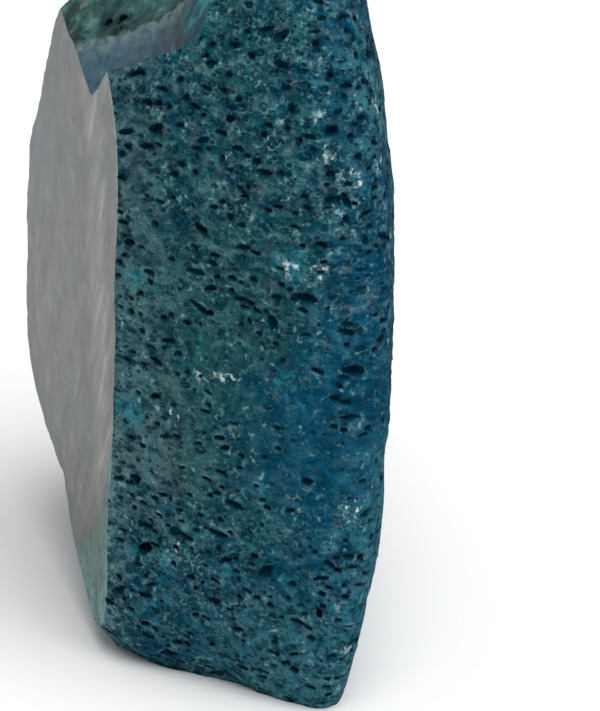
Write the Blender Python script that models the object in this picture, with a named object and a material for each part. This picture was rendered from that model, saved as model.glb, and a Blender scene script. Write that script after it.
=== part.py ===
"""A dyed agate geode, as a standalone Blender script: one nodule of agate in its porous rind, sawn and
polished across the front, sawn flat underneath to stand, with a bite broken out of its near top corner.

Metres, +Z up. The polished face looks along -Y. The origin is on the foot, under the middle of the stone.
"""

import math
import random

import bmesh
import bpy
import numpy as np
from mathutils import Matrix, Vector, noise

MM = 0.001

# The nodule before it was sawn: the heart that its sides are measured from, and the sides themselves, each
# as the way it faces (turn from +X towards +Y, lift above level, in degrees) and its reach from the heart.
HEART = Vector((-2.5, -1, 60)) * MM
SIDES = (
    ("near wall", -48, -8, 38.8 * MM),
    ("near shoulder", -46, 17, 51.6 * MM),
    ("right wall", 2, 0, 58 * MM),
    ("right shoulder", 0, 50, 78 * MM),
    ("right underside", 2, -35, 82 * MM),
    ("right back", 73, 0, 29 * MM),
    ("right back top", 73, 14, 36 * MM),
    ("right back underside", 73, -11, 32.7 * MM),
    ("back", 95, 0, 27 * MM),
    ("left back", 140, 0, 42 * MM),
    ("left wall", 180, 0, 54 * MM),
    ("far wall", -135, 4, 44.1 * MM),
    ("far shoulder", -140, 31, 41.6 * MM),
    ("far underside", -120, -40, 48 * MM),
    ("front", -90, 0, 40 * MM),
    ("front shoulder", -90, 55, 54 * MM),
    ("front underside", -90, -50, 68 * MM),
    ("near underside", -48, -48, 65.7 * MM),
    ("near foot", -63, -34, 67 * MM),
    ("crown", 60, 80, 71 * MM),
    ("bottom", 0, -90, 72 * MM),
)
SIDE_SHARPNESS = 14  # the power that blends the sides: higher leaves crisper edges between them
GRID = 18  # squares along each side of the cube that the skin is made from
PROPORTIONS = (60, 28, 60)  # of the nodule along X, Y and Z, which spread the cube's squares over it
EVENING_ROUNDS = 12  # how many times the squares are then evened out

# The rind's relief: broad swells with smaller lumps on them, and dents, each as its place measured from the
# heart, its span and its depth. The toe is a bulge, so its depth is negative.
SWELL_SPAN, SWELL_HEIGHT = 34 * MM, 1.6 * MM
LUMP_SPAN, LUMP_HEIGHT = 13 * MM, 0.7 * MM
DENTS = (
    ("low by the face", Vector((-11, -25, -38)) * MM, 9 * MM, 3.6 * MM),
    ("low by the near edge", Vector((22, -25, -35)) * MM, 10 * MM, 2.4 * MM),
    ("near edge of the foot", Vector((31, -10, -60)) * MM, 8 * MM, 2.0 * MM),
    ("toe by the face", Vector((9, -21, -60)) * MM, 6 * MM, -3 * MM),
)

# The saw cuts.
FACE_Y = -26 * MM
FOOT_Z = 0 * MM

# The bite broken out of the near top corner, as the lump of stone that is missing. Only its first three
# sides lie in the stone; the rest close it in the air.
BITE_HEART = Vector((26.5, -25, 113)) * MM
BITE_SIDES = (
    ("far flank", 114, -39, 12.3 * MM),
    ("near flank", -12, -55, 6.8 * MM),
    ("riser", 85, -27, 10.8 * MM),
    ("air above", 0, 90, 22 * MM),
    ("air in front", -90, 0, 14 * MM),
    ("air beside", -25, 10, 34 * MM),
    ("air behind", 160, 30, 36 * MM),
)
BITE_SHARPNESS = 12
BITE_GRID = 14
SHELL_SPAN, SHELL_HEIGHT = 7 * MM, 0.5 * MM  # the shelly relief of the fracture
# Beyond this ridge the break ran along an older surface, a little deeper. The ridge is given by a point on it
# and the way across it, away from the older surface.
RIDGE_START, RIDGE_WAY = Vector((5, -25.6, 103.6)) * MM, Vector((0.673, -0.740, 0))
OLD_SURFACE_DROP, OLD_SURFACE_SLOPE = 1.6 * MM, 1.5 * MM  # how much deeper, and over what width it gets there

# The rind's larger gas pits, each a ball stretched along the skin, with its middle just under the skin.
# The landmarks come first: the way to each from the heart (turn, lift in degrees), its width, its length in
# widths, and the slant of its long way from level (degrees).
LANDMARK_PITS = (
    ("low hollow", -36, -46, 2.0 * MM, 1.8, 30),
    ("deep vug", 5.5, 2.5, 1.9 * MM, 1.8, -15),
    ("brow", -2, 14.5, 1.6 * MM, 2.4, -5),
    ("low ledge", -16, -35, 1.3 * MM, 2.8, -10),
    ("upright vug", -6.5, 10.5, 1.7 * MM, 1.6, 85),
    ("long slit", -10.5, 14, 1.1 * MM, 3.6, -10),
    ("slanting slit", -19, 12.5, 1.2 * MM, 3.6, -40),
    ("high ledge", -19.5, 19, 1.3 * MM, 2.4, -5),
    ("thin slit", 5, -5, 1.0 * MM, 3.8, -5),
    ("foot ledge", -14, -39, 1.2 * MM, 2.1, 15),
    ("lower vug", -0.5, -18, 1.4 * MM, 1.5, 10),
    ("foot vug", 2.5, -38.5, 1.3 * MM, 1.5, 85),
    ("high slit", -11, 30.5, 1.0 * MM, 3.3, -45),
    ("upper ledge", -7.5, 32.5, 1.1 * MM, 2.6, 0),
    ("shoulder vug", 4, 27, 1.3 * MM, 1.8, -60),
    ("ringed vug", -13, 40, 1.4 * MM, 1.1, 0),
)
# The three pits in the older surface of the bite: the middle of each and its width.
OLD_SURFACE_PITS = (
    (Vector((6.1, -21, 106.9)) * MM, 1.5 * MM),
    (Vector((8.4, -19.1, 107.8)) * MM, 1.6 * MM),
    (Vector((10.2, -19.7, 106.6)) * MM, 1.0 * MM),
)
OLD_SURFACE_FACING, OLD_SURFACE_STRETCH = Vector((0.31, -0.71, 0.63)), 1.2
# The other pits are scattered all round the nodule, and those too near another or the foot are left out.
PIT_TRIES = 165
PIT_WIDTHS = (1.1 * MM, 1.7 * MM)
PIT_STRETCH = (1.1, 2.4)
PIT_SLANT = 20  # degrees, as the spread of their slants about level
PIT_SINK = 0.28  # how far a pit's middle is below the skin, in widths
PIT_DEPTH = 0.55  # its half-depth, in widths
PIT_LUMPINESS = 0.15
PIT_SPACING = 6 * MM
PIT_CLEARANCE = 2 * MM  # above the foot
PIT_SEED = 11
SMOOTH_PATCH, SMOOTH_PATCH_SPAN = Vector((48, 2, 52)) * MM, 22 * MM  # where the rind has few pits
SLOPE_STEP = 0.02  # how far aside of a pit the skin is felt for its slope, in distances from the heart


def facing(turn, lift):
    """The unit vector that faces this way, in degrees."""
    turn, lift = math.radians(turn), math.radians(lift)
    return np.array((math.cos(turn) * math.cos(lift), math.sin(turn) * math.cos(lift), math.sin(lift)))


def reach(directions, sides, sharpness):
    """How far a body with these sides reaches from its heart in each direction."""
    total = np.zeros(len(directions))
    for _, turn, lift, distance in sides:
        total += (np.maximum(directions @ facing(turn, lift), 0) / distance) ** sharpness
    return total ** (-1 / sharpness)


def unit(vectors):
    return vectors / np.linalg.norm(vectors, axis=1)[:, None]


def rind_relief(point):
    """How far the skin stands out of the nodule's sides, at a point of them measured from the heart."""
    swell = SWELL_HEIGHT * noise.fractal(point / SWELL_SPAN, 1.0, 2.0, 3)
    lump = LUMP_HEIGHT * noise.fractal(point / LUMP_SPAN + Vector((7, 0, 0)), 1.0, 2.0, 2)
    dents = (depth * math.exp(-(((point - place).length / span) ** 2)) for _, place, span, depth in DENTS)
    return swell + lump - sum(dents)


def fracture_relief(point):
    """How much deeper the bite is than its sides, at a point of them measured from its heart."""
    shells = SHELL_HEIGHT * noise.ridged_multi_fractal(point / SHELL_SPAN, 1.0, 2.0, 2, 1.0, 2.0)
    beyond_ridge = (RIDGE_START - BITE_HEART - point).dot(RIDGE_WAY)
    return shells + OLD_SURFACE_DROP * min(max(beyond_ridge / OLD_SURFACE_SLOPE, 0), 1)


def raised(directions, sides, sharpness, relief):
    """The points of a body's skin in these directions from its heart, with its relief."""
    surface = directions * reach(directions, sides, sharpness)[:, None]
    heights = np.array([relief(Vector(p)) for p in surface])
    return surface + directions * heights[:, None]


def evened(directions, edges, sides, sharpness):
    """The directions, moved so that they fall evenly over a body's sides."""
    count = np.bincount(edges.ravel(), minlength=len(directions))[:, None]
    for _ in range(EVENING_ROUNDS):
        points = directions * reach(directions, sides, sharpness)[:, None]
        total = np.zeros_like(points)
        np.add.at(total, edges[:, 0], points[edges[:, 1]])
        np.add.at(total, edges[:, 1], points[edges[:, 0]])
        directions = unit(total / count)
    return directions


def body(heart, sides, sharpness, relief, grid, proportions=(1, 1, 1)):
    """A closed body with these sides about its heart, from a cube of grid by grid squares a side."""
    bm = bmesh.new()
    bmesh.ops.create_cube(bm, size=2)
    bmesh.ops.subdivide_edges(bm, edges=bm.edges[:], cuts=grid - 1, use_grid_fill=True)
    bm.verts.index_update()
    cube = np.array([v.co for v in bm.verts])
    edges = np.array([[v.index for v in e.verts] for e in bm.edges])
    directions = unit(unit(np.tan(cube * math.pi / 4)) * proportions)
    directions = evened(directions, edges, sides, sharpness)
    for vert, point in zip(bm.verts, raised(directions, sides, sharpness, relief)):
        vert.co = heart + Vector(point)
    return bm


def saw(bm, point, outward):
    """Cuts off what lies beyond the plane, and closes the cut."""
    cut = bmesh.ops.bisect_plane(
        bm, geom=bm.verts[:] + bm.edges[:] + bm.faces[:], plane_co=point, plane_no=outward, clear_outer=True
    )
    rim = [g for g in cut["geom_cut"] if isinstance(g, bmesh.types.BMEdge)]
    bmesh.ops.edgeloop_fill(bm, edges=rim)


def skin_frames(directions):
    """The skin's points in these directions from the heart, and its outward normals there."""
    aside = unit(np.cross(directions, (0, 0, 1)))
    over = np.cross(directions, aside)
    at, along, across = (
        raised(unit(d), SIDES, SIDE_SHARPNESS, rind_relief)
        for d in (directions, directions + aside * SLOPE_STEP, directions + over * SLOPE_STEP)
    )
    return at, unit(np.cross(along - at, across - at))


def landmark_pits():
    """The landmark pits, as (point on the skin, outward normal, width, stretch, slant)."""
    directions = np.array([facing(turn, lift) for _, turn, lift, *_ in LANDMARK_PITS])
    for place, (*_, width, stretch, slant) in zip(zip(*skin_frames(directions)), LANDMARK_PITS):
        yield HEART + Vector(place[0]), Vector(place[1]), width, stretch, math.radians(slant)


def scattered_pits():
    """Candidates for the other pits, spread all round the nodule."""
    draw = random.Random(PIT_SEED)
    golden = math.pi * (1 + math.sqrt(5))
    directions = []
    for n in range(PIT_TRIES):
        height = 1 - 2 * (n + 0.5) / PIT_TRIES
        around = math.sqrt(1 - height * height)
        turn = golden * n
        directions.append((around * math.cos(turn), around * math.sin(turn), height))
    for point, normal in zip(*skin_frames(unit(np.array(directions) * PROPORTIONS))):
        width, stretch = draw.uniform(*PIT_WIDTHS), draw.uniform(*PIT_STRETCH)
        slant = math.radians(draw.gauss(0, PIT_SLANT))
        bare = math.exp(-((HEART + Vector(point) - SMOOTH_PATCH).length / SMOOTH_PATCH_SPAN) ** 2)
        if draw.random() > bare:
            yield HEART + Vector(point), Vector(normal), width, stretch, slant


def old_surface_pits():
    """The pits in the bite's older surface, in the same form."""
    for place, width in OLD_SURFACE_PITS:
        yield place, OLD_SURFACE_FACING, width, OLD_SURFACE_STRETCH, 0


def pits():
    """The known pits, and of the others those that are on the sawn stone and clear of the rest."""
    found = [*landmark_pits(), *old_surface_pits()]
    for pit in scattered_pits():
        point = pit[0]
        clear = all((point - other[0]).length > PIT_SPACING for other in found)
        if clear and point.y > FACE_Y and point.z > FOOT_Z + PIT_CLEARANCE:
            found.append(pit)
    return found


def pit_cutter():
    """The larger pits as one mesh of separate low balls."""
    draw = random.Random(PIT_SEED + 1)
    bm = bmesh.new()
    for point, normal, width, stretch, slant in pits():
        middle = point - normal * width * PIT_SINK
        level = Vector((0, 0, 1)).cross(normal).normalized()
        frame = Matrix((level, normal.cross(level), normal)).transposed().to_4x4()
        size = Matrix.Diagonal((width / 2 * stretch, width / 2, width * PIT_DEPTH, 1))
        place = Matrix.Translation(middle) @ frame @ Matrix.Rotation(slant, 4, "Z") @ size
        ball = bmesh.ops.create_uvsphere(bm, u_segments=5, v_segments=3, radius=1)["verts"]
        for vert in ball:
            vert.co = place @ (vert.co * draw.uniform(1 - PIT_LUMPINESS, 1 + PIT_LUMPINESS))
    return bm


def named_object(name, bm, smooth=False):
    """The finished mesh as an object in the scene."""
    bmesh.ops.recalc_face_normals(bm, faces=bm.faces[:])
    mesh = bpy.data.meshes.new(name)
    bm.to_mesh(mesh)
    bm.free()
    if smooth:
        mesh.shade_smooth()
        mesh.set_sharp_from_angle(angle=math.radians(40))
    obj = bpy.data.objects.new(name, mesh)
    bpy.context.scene.collection.objects.link(obj)
    return obj


def cut_out(stone, cutter):
    """Takes the cutter's shape out of the stone."""
    cutter.hide_render = True
    cutter.display_type = "WIRE"
    cut = stone.modifiers.new(cutter.name, "BOOLEAN")
    cut.operation = "DIFFERENCE"
    cut.object = cutter


def rind_material():
    material = bpy.data.materials.new("dyed_rind")
    material.use_nodes = True
    shader = material.node_tree.nodes["Principled BSDF"]
    shader.inputs["Base Color"].default_value = (0.014, 0.068, 0.100, 1)
    shader.inputs["Roughness"].default_value = 0.7
    shader.inputs["Metallic"].default_value = 0.0
    return material


def main():
    for obj in list(bpy.data.objects):
        bpy.data.objects.remove(obj)
    nodule = body(HEART, SIDES, SIDE_SHARPNESS, rind_relief, GRID, PROPORTIONS)
    saw(nodule, (0, FACE_Y, 0), (0, -1, 0))
    saw(nodule, (0, 0, FOOT_Z), (0, 0, -1))
    stone = named_object("agate_geode", nodule, smooth=True)
    bite = body(BITE_HEART, BITE_SIDES, BITE_SHARPNESS, fracture_relief, BITE_GRID)
    cut_out(stone, named_object("bite_cutter", bite))
    cut_out(stone, named_object("pit_cutter", pit_cutter()))
    stone.data.materials.append(rind_material())


main()
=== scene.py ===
"""The look of the agate geode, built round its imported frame: the porous rind, the polished face, the
broken corner and the sawn foot, on a pale floor in a plain studio.
"""

import math
import random

import bmesh
import bpy
import numpy as np
from mathutils import Matrix, Vector, kdtree, noise


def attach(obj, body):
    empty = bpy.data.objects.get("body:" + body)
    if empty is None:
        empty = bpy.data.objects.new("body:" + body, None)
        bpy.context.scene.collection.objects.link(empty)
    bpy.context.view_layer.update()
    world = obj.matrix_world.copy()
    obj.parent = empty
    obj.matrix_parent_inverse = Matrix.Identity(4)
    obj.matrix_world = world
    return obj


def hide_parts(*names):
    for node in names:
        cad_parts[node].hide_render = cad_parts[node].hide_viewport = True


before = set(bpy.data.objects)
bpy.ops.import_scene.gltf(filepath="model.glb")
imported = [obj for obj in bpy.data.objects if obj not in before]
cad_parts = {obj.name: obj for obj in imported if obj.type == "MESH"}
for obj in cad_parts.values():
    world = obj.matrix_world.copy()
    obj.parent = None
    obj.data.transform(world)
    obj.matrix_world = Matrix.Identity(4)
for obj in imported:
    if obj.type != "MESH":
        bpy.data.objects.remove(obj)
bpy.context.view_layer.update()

MM = 0.001

# The nodule before it was sawn: the heart that its sides are measured from, and the sides themselves, each
# as the way it faces (turn from +X towards +Y, lift above level, in degrees) and its reach from the heart.
HEART = Vector((-2.5, -1, 60)) * MM
SIDES = (
    ("near wall", -48, -8, 38.8 * MM),
    ("near shoulder", -46, 17, 51.6 * MM),
    ("right wall", 2, 0, 58 * MM),
    ("right shoulder", 0, 50, 78 * MM),
    ("right underside", 2, -35, 82 * MM),
    ("right back", 73, 0, 29 * MM),
    ("right back top", 73, 14, 36 * MM),
    ("right back underside", 73, -11, 32.7 * MM),
    ("back", 95, 0, 27 * MM),
    ("left back", 140, 0, 42 * MM),
    ("left wall", 180, 0, 54 * MM),
    ("far wall", -135, 4, 44.1 * MM),
    ("far shoulder", -140, 31, 41.6 * MM),
    ("far underside", -120, -40, 48 * MM),
    ("front", -90, 0, 40 * MM),
    ("front shoulder", -90, 55, 54 * MM),
    ("front underside", -90, -50, 68 * MM),
    ("near underside", -48, -48, 65.7 * MM),
    ("near foot", -63, -34, 67 * MM),
    ("crown", 60, 80, 71 * MM),
    ("bottom", 0, -90, 72 * MM),
)
SIDE_SHARPNESS = 14
PROPORTIONS = (60, 28, 60)  # the nodule's rough half sizes, by which squares and pits are spread over it
EVENING_GRID, EVENING_ROUNDS = 18, 12  # squares a side of the cube that is evened out, and how often
FINE_CUTS = 3  # in each edge of those squares afterwards

# The rind's relief, from broad swells to crumbs: the span of each and its height.
SWELL_SPAN, SWELL_HEIGHT = 34 * MM, 1.6 * MM
LUMP_SPAN, LUMP_HEIGHT = 13 * MM, 0.7 * MM
KNOB_SPAN, KNOB_HEIGHT = 4.2 * MM, 0.40 * MM
CRUMB_SPAN, CRUMB_HEIGHT = 2.3 * MM, 0.24 * MM
KNOB_LEVEL = 1.2  # the share of a knob's height that is taken off again all over
LOW_LEDGES, HIGH_LEDGES = 1.9, 1.3  # how much wider than tall the knobs are, below the heart and above
RIDGED = 1.0, 2.0, 2, 1.0, 2.0  # the ridged noise's dimension, lacunarity, octaves, offset and gain

# The rind's dents, each as its place measured from the heart, its span and its depth.
DENTS = (
    ("low by the face", Vector((-11, -25, -38)) * MM, 9 * MM, 3.6 * MM),
    ("low by the near edge", Vector((22, -25, -35)) * MM, 10 * MM, 2.4 * MM),
    ("near edge of the foot", Vector((31, -10, -60)) * MM, 8 * MM, 2.0 * MM),
    ("toe by the face", Vector((9, -21, -60)) * MM, 6 * MM, -3 * MM),
)

# The saw cuts.
FACE_Y = -26 * MM
FOOT_Z = 0 * MM

# The bite broken out of the near top corner, as the lump of stone that is missing.
BITE_HEART = Vector((26.5, -25, 113)) * MM
BITE_SIDES = (
    ("far flank", 114, -39, 12.3 * MM),
    ("near flank", -12, -55, 6.8 * MM),
    ("riser", 85, -27, 10.8 * MM),
    ("air above", 0, 90, 22 * MM),
    ("air in front", -90, 0, 14 * MM),
    ("air beside", -25, 10, 34 * MM),
    ("air behind", 160, 30, 36 * MM),
)
BITE_SHARPNESS = 12
BITE_GRID, BITE_CUTS = 8, 6
SHELL_SPAN, SHELL_HEIGHT = 7 * MM, 0.5 * MM
HACKLE_SPAN, HACKLE_HEIGHT = 2.2 * MM, 0.12 * MM
RIDGE_SPAN, RIDGE_WANDER = 3 * MM, 1 * MM
# Beyond this ridge the break ran along an older, porous surface, a little deeper.
RIDGE_START, RIDGE_WAY = Vector((5, -25.6, 103.6)) * MM, Vector((0.673, -0.740, 0))
OLD_SURFACE_DROP, OLD_SURFACE_SLOPE = 1.6 * MM, 1.5 * MM

# The rind's larger gas pits: the landmarks, each as its turn and lift from the heart, width, stretch and
# slant in degrees, then those in the older surface, by place and width, and then the scattered ones.
LANDMARK_PITS = (
    ("low hollow", -36, -46, 2.0 * MM, 1.8, 30),
    ("deep vug", 5.5, 2.5, 1.9 * MM, 1.8, -15),
    ("brow", -2, 14.5, 1.6 * MM, 2.4, -5),
    ("low ledge", -16, -35, 1.3 * MM, 2.8, -10),
    ("upright vug", -6.5, 10.5, 1.7 * MM, 1.6, 85),
    ("long slit", -10.5, 14, 1.1 * MM, 3.6, -10),
    ("slanting slit", -19, 12.5, 1.2 * MM, 3.6, -40),
    ("high ledge", -19.5, 19, 1.3 * MM, 2.4, -5),
    ("thin slit", 5, -5, 1.0 * MM, 3.8, -5),
    ("foot ledge", -14, -39, 1.2 * MM, 2.1, 15),
    ("lower vug", -0.5, -18, 1.4 * MM, 1.5, 10),
    ("foot vug", 2.5, -38.5, 1.3 * MM, 1.5, 85),
    ("high slit", -11, 30.5, 1.0 * MM, 3.3, -45),
    ("upper ledge", -7.5, 32.5, 1.1 * MM, 2.6, 0),
    ("shoulder vug", 4, 27, 1.3 * MM, 1.8, -60),
    ("ringed vug", -13, 40, 1.4 * MM, 1.1, 0),
)
OLD_SURFACE_PITS = (
    (Vector((6.1, -21, 106.9)) * MM, 1.5 * MM),
    (Vector((8.4, -19.1, 107.8)) * MM, 1.6 * MM),
    (Vector((10.2, -19.7, 106.6)) * MM, 1.0 * MM),
)
OLD_SURFACE_FACING, OLD_SURFACE_STRETCH = Vector((0.31, -0.71, 0.63)), 1.2
PIT_TRIES = 165
PIT_WIDTHS = (1.1 * MM, 1.7 * MM)
PIT_STRETCH = (1.1, 2.4)
PIT_SLANT = 20  # degrees, the usual slant either way
PIT_SINK, PIT_DEPTH = 0.28, 0.55  # how far a pit's middle is sunk, and its half depth, in its widths
PIT_LUMPINESS, PIT_LUMP_SCALE = 0.25, 1.4
PIT_LUMP_STEP = 3.7  # how far each pit's lumps lie from the last one's in the noise
PIT_SPACING = 6 * MM
PIT_CLEARANCE = 2 * MM  # above the foot
PIT_SEED = 11
SMOOTH_PATCH, SMOOTH_PATCH_SPAN = Vector((48, 2, 52)) * MM, 22 * MM
SLOPE_STEP = 0.02  # radians, across which the skin's slope is taken

# The small gas pits, which riddle the rind between the larger ones. Each is a coarse lumpy ball.
SMALL_PIT_WIDTHS = (0.75 * MM, 1.4 * MM)
SMALL_PIT_GAP = 1.4 * MM
SMALL_PITS_PER_M2 = 118000.0
SMALL_PIT_SEED = 4
SMALL_PIT_SHAPES = (1, 0.8, 0.9), (1, 1.05, 1.5)  # the least and the most of its length, width and depth
SMALL_PIT_STRETCH = 1.6  # how many widths longer the longest ones are
SMALL_PIT_SLANT = 0.25, 0.25, 0.45  # radians, the most that one is turned either way about each axis
SMALL_PIT_SINK = 0.16
BALL_SEGMENTS, BALL_RINGS = 7, 4
BALL_LUMPINESS, BALL_LUMP_SCALE = 0.3, 1.6

# How thickly the small pits lie: everywhere, more towards the right side, and more or less in drifts.
POROSITY, RIGHT_POROSITY, DRIFT_POROSITY = 0.40, 0.40, 0.7
LEAST_POROSITY = 0.05
RIGHT_SIDE, DRIFT_SPAN = 25 * MM, 9 * MM
SMOOTH_PATCH_THINNING = 0.6  # the share of them that the middle of the smooth patch lacks
FAR_RIM = 3 * MM  # they keep this far back from the face on the far side

# Where pale crust has gathered, and where the dye is a brighter cyan: the middle, and how far it spreads.
CRUSTS = (
    (Vector((54.5, 4, 92)) * MM, 2.2 * MM),
    (Vector((52, -5, 79.5)) * MM, 2.2 * MM),
    (Vector((54, -0.5, 79)) * MM, 1.6 * MM),
    (Vector((49.5, 9, 102.5)) * MM, 1.8 * MM),
    (Vector((43, -12.5, 59.5)) * MM, 2.0 * MM),
    (Vector((39.5, -15.5, 58)) * MM, 1.5 * MM),
    (Vector((42.5, -11.5, 50)) * MM, 1.5 * MM),
    (Vector((31, -17, 25.5)) * MM, 1.8 * MM),
    (Vector((50.5, 3.5, 20)) * MM, 1.6 * MM),
    (Vector((53.5, 0.5, 96.5)) * MM, 1.3 * MM),
    (Vector((52, 9, 94)) * MM, 1.5 * MM),
    (Vector((45.5, -12.5, 94.5)) * MM, 1.2 * MM),
    (Vector((53.5, 5, 39)) * MM, 2.2 * MM),
    (Vector((48.5, 6, 12)) * MM, 1.6 * MM),
    (Vector((35, -18.5, 51)) * MM, 1.2 * MM),
    (Vector((52, -0.5, 102)) * MM, 1.2 * MM),
)
CYAN_PATCHES = (
    (Vector((28, -24.5, 49)) * MM, 2.6 * MM),
    (Vector((32, -24.5, 72.5)) * MM, 1.8 * MM),
    (Vector((35.5, -21.5, 72)) * MM, 1.5 * MM),
    (Vector((35, -13.5, 112)) * MM, 1.6 * MM),
    (Vector((52, -5, 79.5)) * MM, 2.5 * MM),
)

OLD_PIT_DARKENING = 2.2 * MM  # how far the darkening round a pit of the older surface spreads
RIM_DEPTH = 0.06  # millimetres under the uncut skin, down to which a pit's edge counts as its rim

# The slots that the stone's finishes go in.
RIND, POLISHED, BROKEN, SAWN = range(4)


# ---- the stone's shape ----


def facing(turn, lift):
    """The unit vector that faces this way, in degrees."""
    turn, lift = math.radians(turn), math.radians(lift)
    return np.array((math.cos(turn) * math.cos(lift), math.sin(turn) * math.cos(lift), math.sin(lift)))


def reach(directions, sides, sharpness):
    """How far a body with these sides reaches from its heart in each direction."""
    total = np.zeros(len(directions))
    for _, turn, lift, distance in sides:
        total += (np.maximum(directions @ facing(turn, lift), 0) / distance) ** sharpness
    return total ** (-1 / sharpness)


def unit(vectors):
    return vectors / np.linalg.norm(vectors, axis=1)[:, None]


def rind_relief(point):
    """The relief that the CAD model's rind has, at a point measured from the heart."""
    swell = SWELL_HEIGHT * noise.fractal(point / SWELL_SPAN, 1.0, 2.0, 3)
    lump = LUMP_HEIGHT * noise.fractal(point / LUMP_SPAN + Vector((7, 0, 0)), 1.0, 2.0, 2)
    dents = (depth * math.exp(-(((point - place).length / span) ** 2)) for _, place, span, depth in DENTS)
    return swell + lump - sum(dents)


def fine_rind_relief(point):
    """The rind's relief with its knobs and crumbs, which lie in level ledges low down."""
    stretched = Vector((point.x, point.y, point.z * (LOW_LEDGES if point.z < 0 else HIGH_LEDGES)))
    knob = KNOB_HEIGHT * noise.ridged_multi_fractal(stretched / KNOB_SPAN, *RIDGED)
    crumb = CRUMB_HEIGHT * noise.noise(stretched / CRUMB_SPAN)
    return rind_relief(point) + knob - KNOB_LEVEL * KNOB_HEIGHT + crumb


def fine_fracture_relief(point):
    """How much deeper the bite is than its sides, at a point of them measured from its heart."""
    shells = SHELL_HEIGHT * noise.ridged_multi_fractal(point / SHELL_SPAN, *RIDGED)
    hackles = HACKLE_HEIGHT * noise.noise(point / HACKLE_SPAN)
    beyond_ridge = (RIDGE_START - BITE_HEART - point).dot(RIDGE_WAY)
    beyond_ridge += RIDGE_WANDER * noise.noise(point / RIDGE_SPAN)
    return shells + hackles + OLD_SURFACE_DROP * min(max(beyond_ridge / OLD_SURFACE_SLOPE, 0), 1)


def raised(directions, sides, sharpness, relief):
    """The points of a body's skin in these directions from its heart, with its relief."""
    surface = directions * reach(directions, sides, sharpness)[:, None]
    heights = np.array([relief(Vector(p)) for p in surface])
    return surface + directions * heights[:, None]


def evened(directions, edges, sides, sharpness):
    """The directions, moved so that they fall evenly over a body's sides."""
    count = np.bincount(edges.ravel(), minlength=len(directions))[:, None]
    for _ in range(EVENING_ROUNDS):
        points = directions * reach(directions, sides, sharpness)[:, None]
        total = np.zeros_like(points)
        np.add.at(total, edges[:, 0], points[edges[:, 1]])
        np.add.at(total, edges[:, 1], points[edges[:, 0]])
        directions = unit(total / count)
    return directions


def body(heart, sides, sharpness, relief, grid, cuts, proportions=(1, 1, 1)):
    """A closed body with these sides about its heart: a cube of squares, evened and then cut finer."""
    bm = bmesh.new()
    bmesh.ops.create_cube(bm, size=2)
    bmesh.ops.subdivide_edges(bm, edges=bm.edges[:], cuts=grid - 1, use_grid_fill=True)
    bm.verts.index_update()
    cube = np.array([v.co for v in bm.verts])
    edges = np.array([[v.index for v in e.verts] for e in bm.edges])
    directions = unit(unit(np.tan(cube * math.pi / 4)) * proportions)
    directions = evened(directions, edges, sides, sharpness)
    for vert, direction in zip(bm.verts, directions):
        vert.co = direction
    bmesh.ops.subdivide_edges(bm, edges=bm.edges[:], cuts=cuts, use_grid_fill=True)
    directions = unit(np.array([v.co for v in bm.verts]))
    for vert, point in zip(bm.verts, raised(directions, sides, sharpness, relief)):
        vert.co = heart + Vector(point)
    return bm


def saw(bm, point, outward, slot):
    """Cuts off what lies beyond the plane, and closes the cut with a face of that slot."""
    whole = bm.verts[:] + bm.edges[:] + bm.faces[:]
    cut = bmesh.ops.bisect_plane(bm, geom=whole, plane_co=point, plane_no=outward, clear_outer=True)
    rim = [g for g in cut["geom_cut"] if isinstance(g, bmesh.types.BMEdge)]
    for face in bmesh.ops.edgeloop_fill(bm, edges=rim)["faces"]:
        face.material_index = slot
        face.smooth = False


def skin_frames(directions):
    """The skin's points in these directions from the heart, and its outward normals there."""
    aside = unit(np.cross(directions, (0, 0, 1)))
    over = np.cross(directions, aside)
    at, along, across = (
        raised(unit(d), SIDES, SIDE_SHARPNESS, rind_relief)
        for d in (directions, directions + aside * SLOPE_STEP, directions + over * SLOPE_STEP)
    )
    return at, unit(np.cross(along - at, across - at))


def landmark_pits():
    """The landmark pits, as (point on the skin, outward normal, width, stretch, slant)."""
    directions = np.array([facing(turn, lift) for _, turn, lift, *_ in LANDMARK_PITS])
    for place, (*_, width, stretch, slant) in zip(zip(*skin_frames(directions)), LANDMARK_PITS):
        yield HEART + Vector(place[0]), Vector(place[1]), width, stretch, math.radians(slant)


def scattered_pits():
    """Candidates for the other larger pits, spread all round the nodule."""
    draw = random.Random(PIT_SEED)
    golden = math.pi * (1 + math.sqrt(5))
    directions = []
    for n in range(PIT_TRIES):
        height = 1 - 2 * (n + 0.5) / PIT_TRIES
        around = math.sqrt(1 - height * height)
        turn = golden * n
        directions.append((around * math.cos(turn), around * math.sin(turn), height))
    for point, normal in zip(*skin_frames(unit(np.array(directions) * PROPORTIONS))):
        width, stretch = draw.uniform(*PIT_WIDTHS), draw.uniform(*PIT_STRETCH)
        slant = math.radians(draw.gauss(0, PIT_SLANT))
        bare = math.exp(-((HEART + Vector(point) - SMOOTH_PATCH).length / SMOOTH_PATCH_SPAN) ** 2)
        if draw.random() > bare:
            yield HEART + Vector(point), Vector(normal), width, stretch, slant


def old_surface_pits():
    """The pits in the bite's older surface, in the same form."""
    for place, width in OLD_SURFACE_PITS:
        yield place, OLD_SURFACE_FACING, width, OLD_SURFACE_STRETCH, 0


def larger_pits():
    """The known pits, and of the others those that are on the sawn stone and clear of the rest."""
    found = [*landmark_pits(), *old_surface_pits()]
    for pit in scattered_pits():
        point = pit[0]
        clear = all((point - other[0]).length > PIT_SPACING for other in found)
        if clear and point.y > FACE_Y and point.z > FOOT_Z + PIT_CLEARANCE:
            found.append(pit)
    return found


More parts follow.
